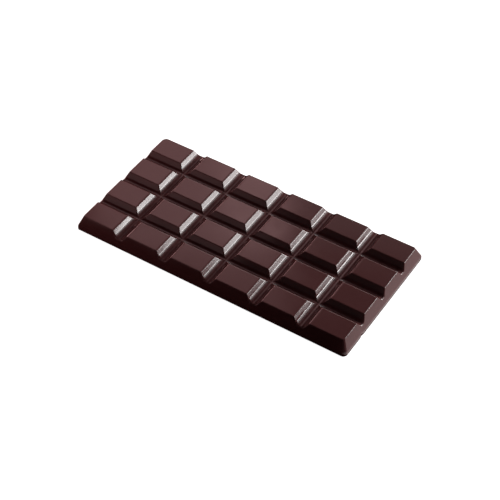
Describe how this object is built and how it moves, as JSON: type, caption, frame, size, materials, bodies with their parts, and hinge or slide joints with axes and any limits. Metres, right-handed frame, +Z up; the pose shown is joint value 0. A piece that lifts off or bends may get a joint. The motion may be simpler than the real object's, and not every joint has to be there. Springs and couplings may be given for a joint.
{
  "type": "chocolate bar",
  "caption": "Moulded dark chocolate bar with bevelled pieces between crossing grooves and leaning flanks, lying on its flat poured side.",
  "frame": {"origin": "centre of the flat poured side, which the bar lies on", "axes": "+X along the length of the bar, +Y across it, +Z up through the moulded pieces"},
  "size_m": [0.1548, 0.0754, 0.0085],
  "materials": {
    "dark_chocolate": "semi-gloss tempered dark chocolate, smooth from the mould, duller on the poured side"
  },
  "bodies": {
    "root": {"chocolate_bar": "dark_chocolate"}
  },
  "joints": []
}
